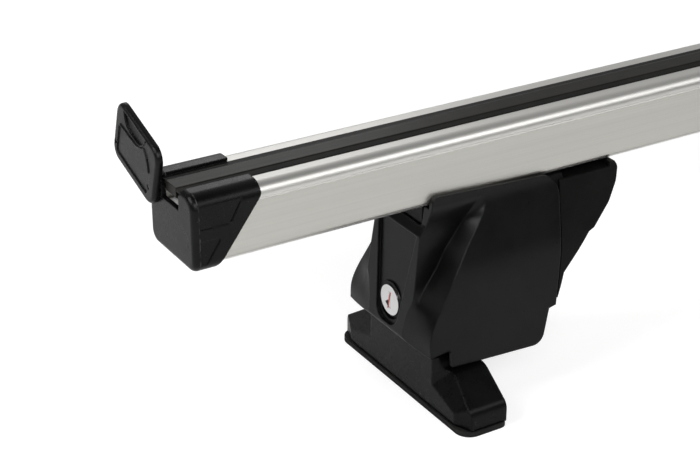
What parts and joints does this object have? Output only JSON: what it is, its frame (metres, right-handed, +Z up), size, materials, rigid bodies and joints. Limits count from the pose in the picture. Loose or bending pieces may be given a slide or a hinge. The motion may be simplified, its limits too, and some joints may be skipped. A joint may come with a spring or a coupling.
{
  "type": "roof rack crossbar",
  "caption": "Roof rack crossbar: aluminium profile with a rubber-lined top slot, hinged end flaps and lockable towers on rubber-soled feet.",
  "frame": {"origin": "centre of the outline on the roof, under the rubber soles", "axes": "+X along the bar towards the end whose flap is shut, +Y across the bar away from the pictured side, +Z up"},
  "size_m": [1.2102, 0.1036, 0.147],
  "materials": {
    "bar_aluminium": "satin",
    "strip_rubber": "matte",
    "cap_plastic": "fine grain",
    "cover_plastic": "fine grain",
    "body_metal": "satin black",
    "foot_plastic": "fine grain",
    "pad_rubber": "matte",
    "lock_plastic": "smooth",
    "lock_chrome": "polished",
    "zinc_steel": "satin"
  },
  "bodies": {
    "crossbar": {"bar_profile": "bar_aluminium", "slot_strip": "strip_rubber", "left_end_cap": "cap_plastic", "left_tower_body": "body_metal", "left_foot_base": "foot_plastic", "left_foot_pad": "pad_rubber", "left_clamp_plate": "zinc_steel", "left_clamp_bolts": "zinc_steel", "left_clamp_washers": "zinc_steel", "left_foot_screws": "zinc_steel", "right_end_cap": "cap_plastic", "right_tower_body": "body_metal", "right_foot_base": "foot_plastic", "right_foot_pad": "pad_rubber", "right_clamp_plate": "zinc_steel", "right_clamp_bolts": "zinc_steel", "right_clamp_washers": "zinc_steel", "right_foot_screws": "zinc_steel"},
    "left_flap": {"left_cap_flap": "cap_plastic"},
    "left_cover": {"left_tower_cover": "cover_plastic", "left_lock_sleeve": "lock_plastic"},
    "left_lock": {"left_lock_core": "lock_chrome", "left_lock_cam": "zinc_steel"},
    "right_flap": {"right_cap_flap": "cap_plastic"},
    "right_cover": {"right_tower_cover": "cover_plastic", "right_lock_sleeve": "lock_plastic"},
    "right_lock": {"right_lock_core": "lock_chrome", "right_lock_cam": "zinc_steel"}
  },
  "joints": [
    {"name": "left_flap_swing", "type": "hinge", "parent": "crossbar", "child": "left_flap", "pos_m": [-0.602, 0.0134, 0.1181], "axis": [1, 0, 0], "range_deg": [0, 162]},
    {"name": "left_cover_slide", "type": "slide", "parent": "crossbar", "child": "left_cover", "axis": [-1, 0, 0], "range_m": [0, 0.078]},
    {"name": "left_lock_turn", "type": "hinge", "parent": "left_cover", "child": "left_lock", "pos_m": [-0.5, 0, 0.0454], "axis": [1, 0, 0], "range_deg": [0, 90]},
    {"name": "right_flap_swing", "type": "hinge", "parent": "crossbar", "child": "right_flap", "pos_m": [0.602, -0.0134, 0.1181], "axis": [1, 0, 0], "range_deg": [0, 162]},
    {"name": "right_cover_slide", "type": "slide", "parent": "crossbar", "child": "right_cover", "axis": [1, 0, 0], "range_m": [0, 0.078]},
    {"name": "right_lock_turn", "type": "hinge", "parent": "right_cover", "child": "right_lock", "pos_m": [0.5, 0, 0.0454], "axis": [-1, 0, 0], "range_deg": [0, 90]}
  ]
}
